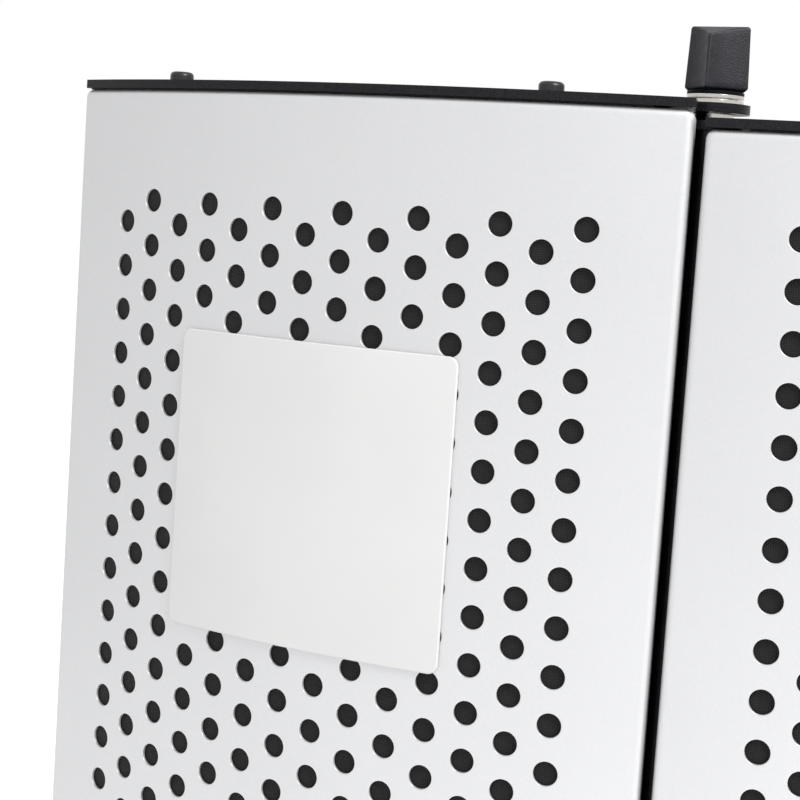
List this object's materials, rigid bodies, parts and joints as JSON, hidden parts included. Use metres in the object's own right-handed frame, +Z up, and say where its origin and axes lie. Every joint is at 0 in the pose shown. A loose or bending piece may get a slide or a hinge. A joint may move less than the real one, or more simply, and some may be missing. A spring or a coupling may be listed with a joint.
{
  "type": "microphone isolation shield",
  "caption": "Folding vocal isolation shield: curved perforated wings with foam inside, hinged on a post, on a slotted bar with a stand socket and a microphone post.",
  "frame": {"origin": "centre of the stand thread at its mouth, where the stand enters from below", "axes": "+Z up along the stand, +Y towards the performer (the foam side), so the perforated outside faces -Y; the badge wing is on -X"},
  "size_m": [0.4732, 0.2504, 0.3658],
  "materials": {
    "silver_steel": "satin silver powder coat",
    "badge": "satin white",
    "dark_plate": "satin dark grey powder coat",
    "black_rail": "matte black",
    "acoustic_cloth": "fine black cloth",
    "fibre_mat": "needled fibre",
    "backing": "mill",
    "foam": "open-cell foam",
    "black_screws": "black oxide",
    "zinc_steel": "zinc plated",
    "bright_steel": "bright stainless",
    "black_post": "black anodised",
    "brass": "turned",
    "black_plastic": "grained matte",
    "dark_rubber": "matte",
    "black_steel": "fine-textured powder coat",
    "chrome": "polished"
  },
  "bodies": {
    "mount": {"mount_bar": "black_steel", "stand_flange": "black_steel", "thread_adapter": "brass", "flange_screws": "black_screws", "bar_end_cap": "black_plastic", "friction_disc": "dark_rubber", "lower_hinge_washers": "bright_steel", "lower_hinge_wave_washer": "bright_steel"},
    "badge_wing": {"badge_wing_acoustic_cloth": "acoustic_cloth", "badge_wing_backing_plate": "backing", "badge_wing_bottom_plate": "dark_plate", "badge_wing_clinch_nuts": "zinc_steel", "badge_wing_fibre_mat": "fibre_mat", "badge_wing_foam_pad": "foam", "badge_wing_hinge_rail": "black_rail", "badge_wing_perforated_shell": "silver_steel", "badge_wing_plate_screws": "black_screws", "badge_wing_tip_rail": "black_rail", "badge_wing_top_plate": "dark_plate", "badge_plate": "badge", "upper_hinge_washers": "bright_steel", "upper_hinge_wave_washer": "bright_steel"},
    "plain_wing": {"plain_wing_acoustic_cloth": "acoustic_cloth", "plain_wing_backing_plate": "backing", "plain_wing_bottom_plate": "dark_plate", "plain_wing_clinch_nuts": "zinc_steel", "plain_wing_fibre_mat": "fibre_mat", "plain_wing_foam_pad": "foam", "plain_wing_hinge_rail": "black_rail", "plain_wing_perforated_shell": "silver_steel", "plain_wing_plate_screws": "black_screws", "plain_wing_tip_rail": "black_rail", "plain_wing_top_plate": "dark_plate", "hinge_post": "black_post", "upper_hinge_stud": "zinc_steel", "lower_hinge_stud": "zinc_steel", "upper_hinge_spacer": "bright_steel", "lower_hinge_spacer": "bright_steel"},
    "upper_knob": {"upper_knob": "black_plastic", "upper_knob_insert": "brass"},
    "lower_knob": {"lower_knob": "black_plastic", "lower_knob_insert": "brass"},
    "mic_post": {"mic_post": "chrome", "post_pad": "dark_rubber", "post_washer": "bright_steel"},
    "post_knob": {"post_knob": "black_plastic", "post_knob_insert": "brass"},
    "lock_ring": {"lock_ring": "chrome"}
  },
  "joints": [
    {"name": "badge_wing_swing", "type": "hinge", "parent": "mount", "child": "badge_wing", "pos_m": [0, -0.048, 0.19], "axis": [0, 0, -1], "range_deg": [-3, 40]},
    {"name": "plain_wing_swing", "type": "hinge", "parent": "mount", "child": "plain_wing", "pos_m": [0, -0.048, 0.19], "axis": [0, 0, 1], "range_deg": [-3, 40]},
    {"name": "upper_knob_turn", "type": "hinge", "parent": "plain_wing", "child": "upper_knob", "pos_m": [0, -0.048, 0.355], "axis": [0, 0, 1], "continuous": true},
    {"name": "lower_knob_turn", "type": "hinge", "parent": "plain_wing", "child": "lower_knob", "pos_m": [0, -0.048, 0.012], "axis": [0, 0, 1], "continuous": true},
    {"name": "mic_post_slide", "type": "slide", "parent": "mount", "child": "mic_post", "axis": [0, 1, 0], "range_m": [-0.047, 0.037]},
    {"name": "post_knob_turn", "type": "hinge", "parent": "mic_post", "child": "post_knob", "pos_m": [0, 0.11, 0.012], "axis": [0, 0, 1], "continuous": true},
    {"name": "lock_ring_turn", "type": "hinge", "parent": "mic_post", "child": "lock_ring", "pos_m": [0, 0.11, 0.092], "axis": [0, 0, 1], "continuous": true}
  ]
}
